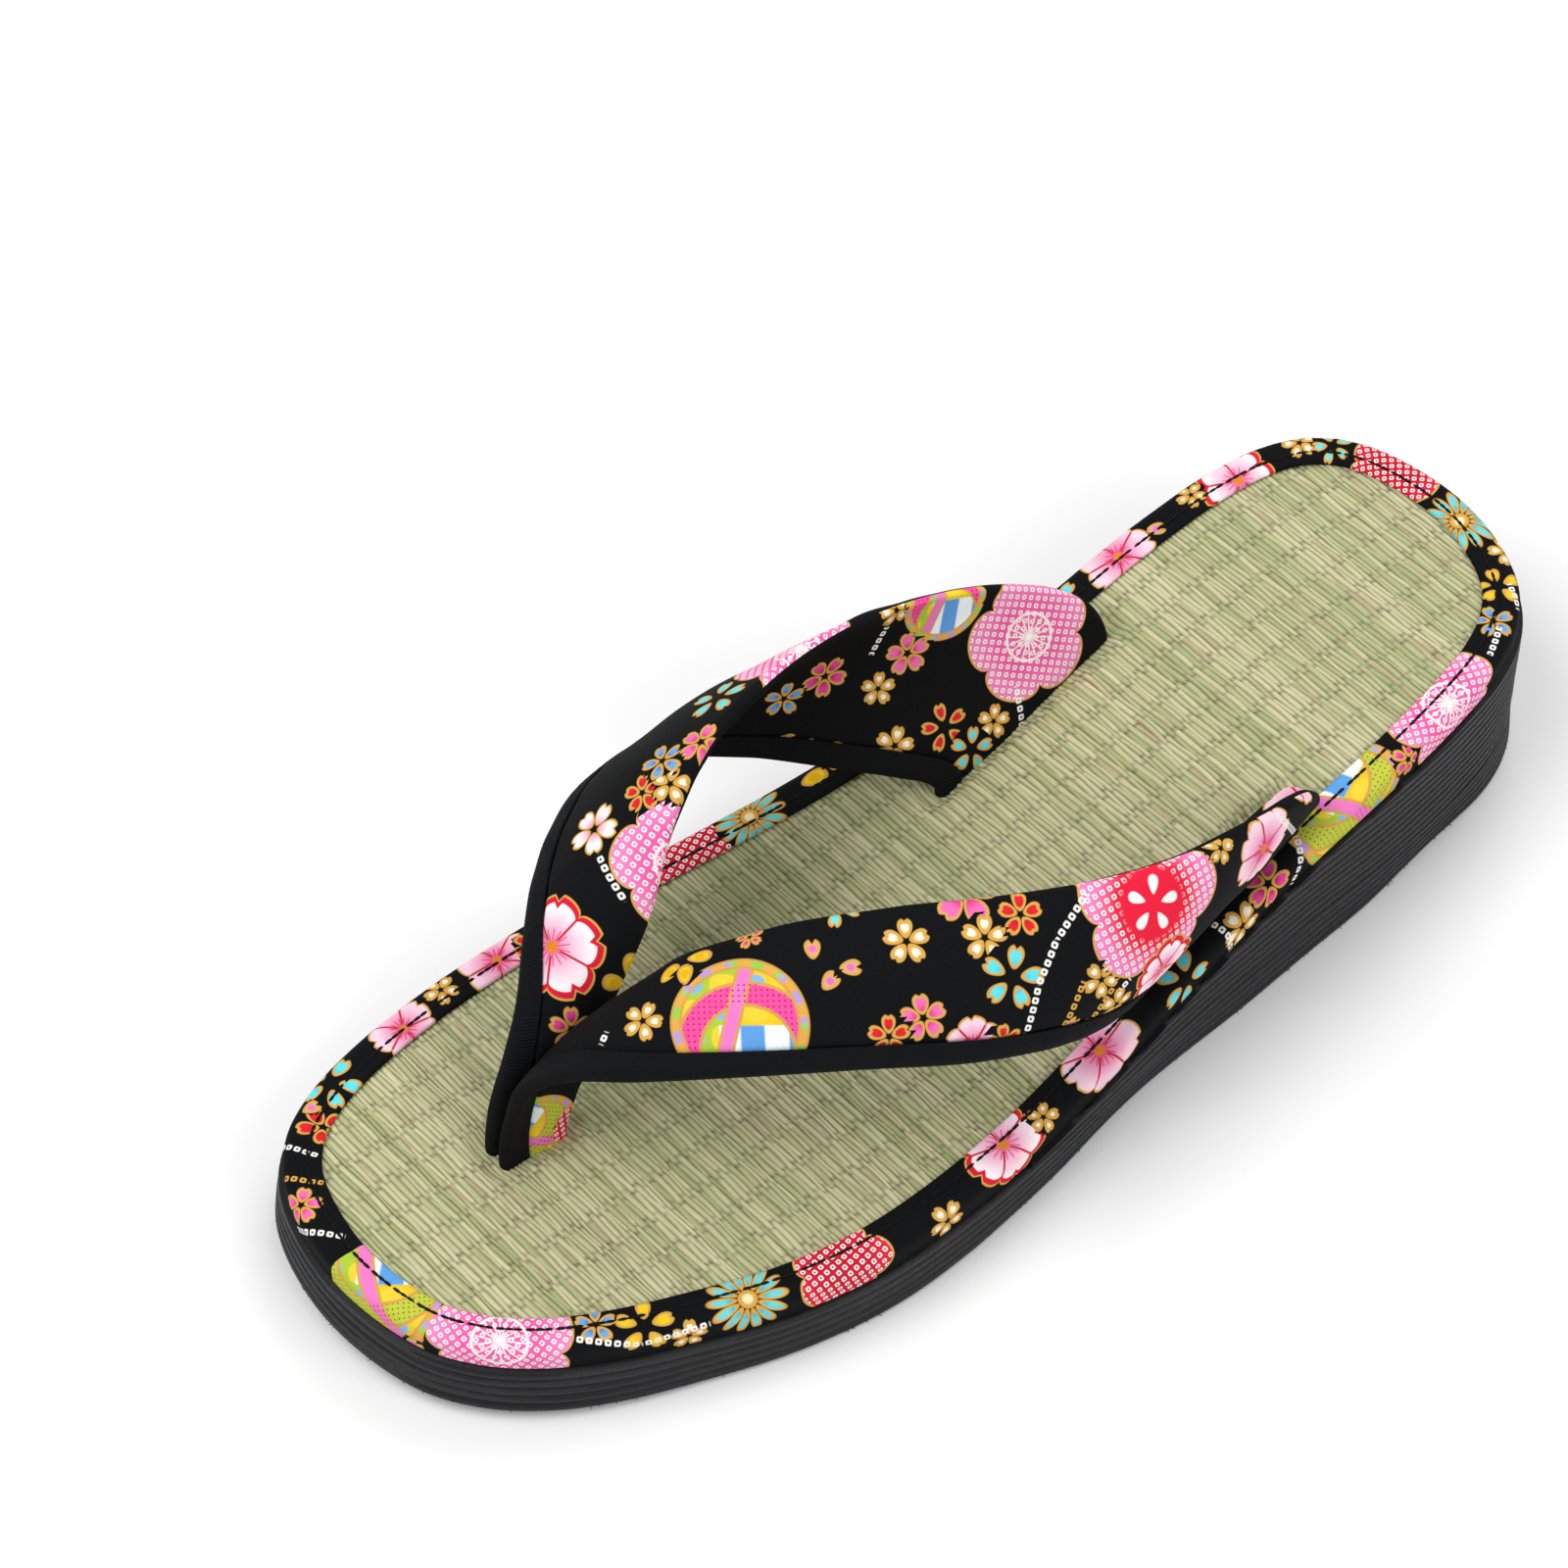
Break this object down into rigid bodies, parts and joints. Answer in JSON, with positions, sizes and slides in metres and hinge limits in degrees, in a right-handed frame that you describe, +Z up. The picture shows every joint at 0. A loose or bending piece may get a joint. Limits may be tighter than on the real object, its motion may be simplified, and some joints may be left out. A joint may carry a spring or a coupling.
{
  "type": "zori sandal",
  "caption": "Left women's thong sandal with a rush-mat footbed, ribbed black foam sole with a heel wedge, printed cloth edge and a V-shaped printed cloth strap.",
  "frame": {"origin": "middle of the sandal's box, on the floor plane", "axes": "+Z up, +Y towards the heel, -Y towards the toes, +X towards the outer (lateral) side of the left foot"},
  "size_m": [0.0944, 0.2468, 0.0634],
  "materials": {
    "foam": "matt ribbed black foam",
    "tatami": "woven rush with a soft sheen",
    "print": "printed cotton, black ground with pink, gold, red, cream and turquoise motifs",
    "strap_print": "printed cotton, black ground with pink, gold, red, cream and turquoise motifs",
    "bias": "matt black bias tape"
  },
  "bodies": {
    "root": {"outsole": "foam", "heel_wedge": "foam", "insole": "tatami", "insole_binding": "print", "strap": "strap_print", "strap_binding_lateral": "bias", "strap_binding_medial": "bias"}
  },
  "joints": []
}
